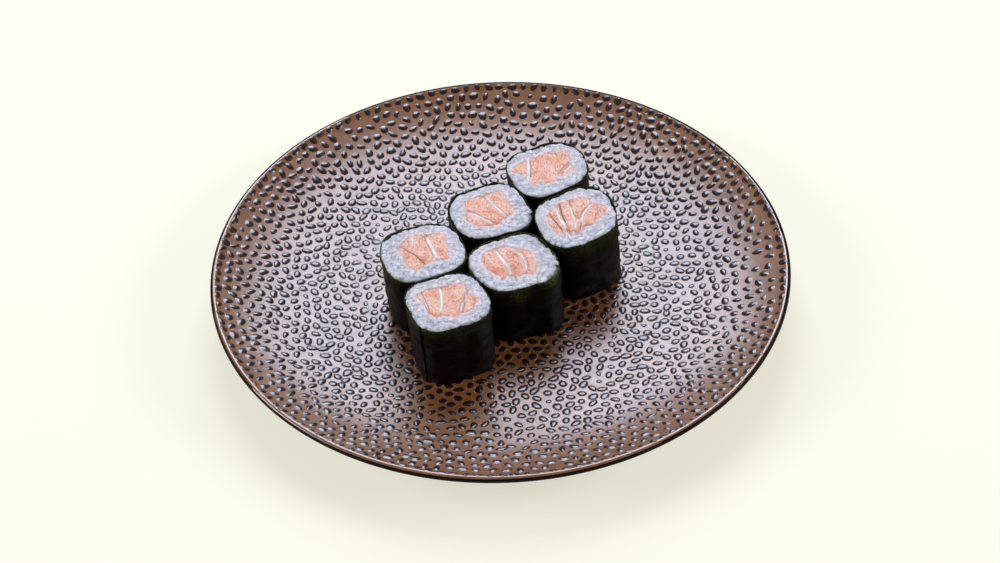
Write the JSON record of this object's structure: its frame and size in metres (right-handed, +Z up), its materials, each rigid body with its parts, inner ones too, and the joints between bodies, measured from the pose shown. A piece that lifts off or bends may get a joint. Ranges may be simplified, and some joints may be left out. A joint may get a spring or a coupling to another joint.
{
  "type": "salmon maki on a plate",
  "caption": "Pieces of salmon maki, nori round rice with strips of raw salmon, standing close together on a round shallow coupe plate with a raised dotted brown glaze.",
  "frame": {"origin": "under the middle of the plate, on the plane that its foot ring stands on", "axes": "+Z up; +Y away from the diner; +X to the diner's right. The cut tops of the maki face +Z."},
  "size_m": [0.21, 0.21, 0.0338],
  "materials": {
    "glaze": "satin",
    "nori": "satin",
    "rice": "satin",
    "salmon": "gloss"
  },
  "bodies": {
    "root": {"plate": "glaze", "nori_front": "nori", "rice_front": "rice", "salmon_front_1": "salmon", "salmon_front_2": "salmon", "salmon_front_3": "salmon", "salmon_front_4": "salmon", "nori_left": "nori", "rice_left": "rice", "salmon_left_1": "salmon", "salmon_left_2": "salmon", "salmon_left_3": "salmon", "nori_middle": "nori", "rice_middle": "rice", "salmon_middle_1": "salmon", "salmon_middle_2": "salmon", "salmon_middle_3": "salmon", "nori_inner": "nori", "rice_inner": "rice", "salmon_inner_1": "salmon", "salmon_inner_2": "salmon", "salmon_inner_3": "salmon", "nori_right": "nori", "rice_right": "rice", "salmon_right_1": "salmon", "salmon_right_2": "salmon", "salmon_right_3": "salmon", "salmon_right_4": "salmon", "salmon_right_5": "salmon", "nori_far": "nori", "rice_far": "rice", "salmon_far_1": "salmon", "salmon_far_2": "salmon", "salmon_far_3": "salmon"}
  },
  "joints": []
}
